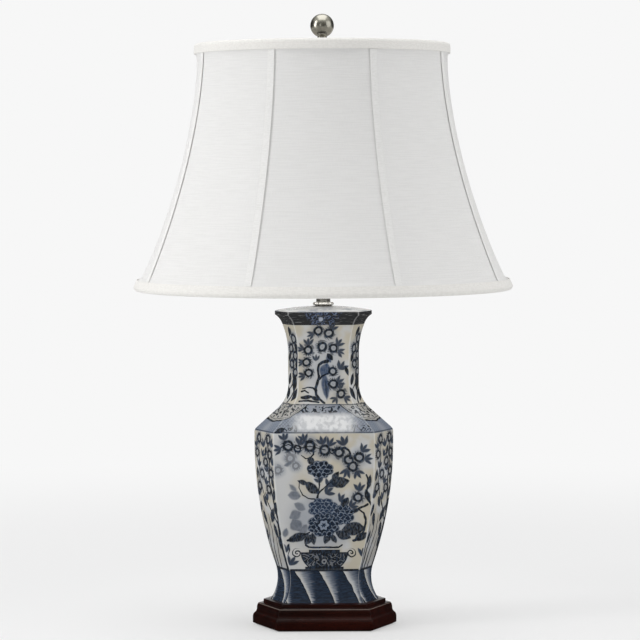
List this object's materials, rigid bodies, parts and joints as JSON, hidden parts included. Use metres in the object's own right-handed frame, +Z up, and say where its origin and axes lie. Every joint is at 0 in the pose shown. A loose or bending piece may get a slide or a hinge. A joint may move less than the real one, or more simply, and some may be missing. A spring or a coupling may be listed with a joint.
{
  "type": "table lamp",
  "caption": "Table lamp with a hexagonal painted porcelain vase on a dark moulded plinth, a harp with a ball finial and a white panelled bell shade.",
  "frame": {"origin": "on the table, under the middle of the plinth", "axes": "+Z up along the tie rod; the wide front face of the vase looks along -Y; +X to its right"},
  "size_m": [0.4056, 0.4056, 0.6552],
  "materials": {
    "base_felt": "matte felt",
    "dark_wood": "polished lacquer",
    "black_plastic": "moulded",
    "plated_steel": "zinc plated",
    "painted_porcelain": "glossy glaze over blue painting",
    "rubber_seal": "matte",
    "polished_nickel": "polished",
    "satin_nickel": "satin",
    "core_porcelain": "unglazed",
    "contact_brass": "plain",
    "bulb_glass": "frosted",
    "bulb_cap_metal": "plain",
    "bulb_bead": "glossy",
    "frame_wire": "white enamel",
    "shade_cloth": "slubbed silk weave",
    "shade_trim": "rolled binding",
    "shade_lining": "fine plain weave"
  },
  "bodies": {
    "stand": {"felt_pad": "base_felt", "plinth": "dark_wood", "cord_bush": "black_plastic", "base_nut": "plated_steel", "base_washer": "plated_steel", "tie_rod": "plated_steel", "vase": "painted_porcelain", "top_seal": "rubber_seal", "check_ring": "polished_nickel", "neck_nut": "polished_nickel", "harp_saddle": "satin_nickel", "harp": "satin_nickel", "harp_stud": "satin_nickel", "holder_cap": "satin_nickel", "holder_shell": "satin_nickel", "holder_core": "core_porcelain", "holder_ring": "black_plastic", "screw_shell": "contact_brass", "centre_contact": "contact_brass", "terminal_screws": "contact_brass"},
    "left_ferrule": {"left_ferrule": "satin_nickel"},
    "right_ferrule": {"right_ferrule": "satin_nickel"},
    "switch": {"switch_bar": "contact_brass", "switch_tips": "black_plastic"},
    "bulb": {"bulb_contact": "contact_brass", "bulb_insulator": "bulb_bead", "bulb_cap": "bulb_cap_metal", "bulb_glass": "bulb_glass"},
    "finial": {"finial_base": "satin_nickel", "finial_ball": "satin_nickel"},
    "shade": {"top_ring": "frame_wire", "bottom_ring": "frame_wire", "spider": "frame_wire", "lining": "shade_lining", "top_trim": "shade_trim", "bottom_trim": "shade_trim", "seam_tapes": "shade_trim", "strut_1": "frame_wire", "strut_2": "frame_wire", "strut_3": "frame_wire", "strut_4": "frame_wire", "strut_5": "frame_wire", "strut_6": "frame_wire", "strut_7": "frame_wire", "strut_8": "frame_wire", "panel_1": "shade_cloth", "panel_2": "shade_cloth", "panel_3": "shade_cloth", "panel_4": "shade_cloth", "panel_5": "shade_cloth", "panel_6": "shade_cloth", "panel_7": "shade_cloth", "panel_8": "shade_cloth"}
  },
  "joints": [
    {"name": "shade_swivel", "type": "hinge", "parent": "stand", "child": "shade", "pos_m": [0, 0, 0.6112], "axis": [0, 0, 1], "continuous": true},
    {"name": "finial_turn", "type": "hinge", "parent": "stand", "child": "finial", "pos_m": [0, 0, 0.6426], "axis": [0, 0, 1], "continuous": true},
    {"name": "bulb_turn", "type": "hinge", "parent": "stand", "child": "bulb", "pos_m": [0, 0, 0.4], "axis": [0, 0, 1], "continuous": true},
    {"name": "switch_push", "type": "slide", "parent": "stand", "child": "switch", "axis": [0, 1, 0], "range_m": [0, 0.006]},
    {"name": "left_ferrule_lift", "type": "slide", "parent": "stand", "child": "left_ferrule", "axis": [0, 0, 1], "range_m": [0, 0.012]},
    {"name": "right_ferrule_lift", "type": "slide", "parent": "stand", "child": "right_ferrule", "axis": [0, 0, 1], "range_m": [0, 0.012]}
  ]
}
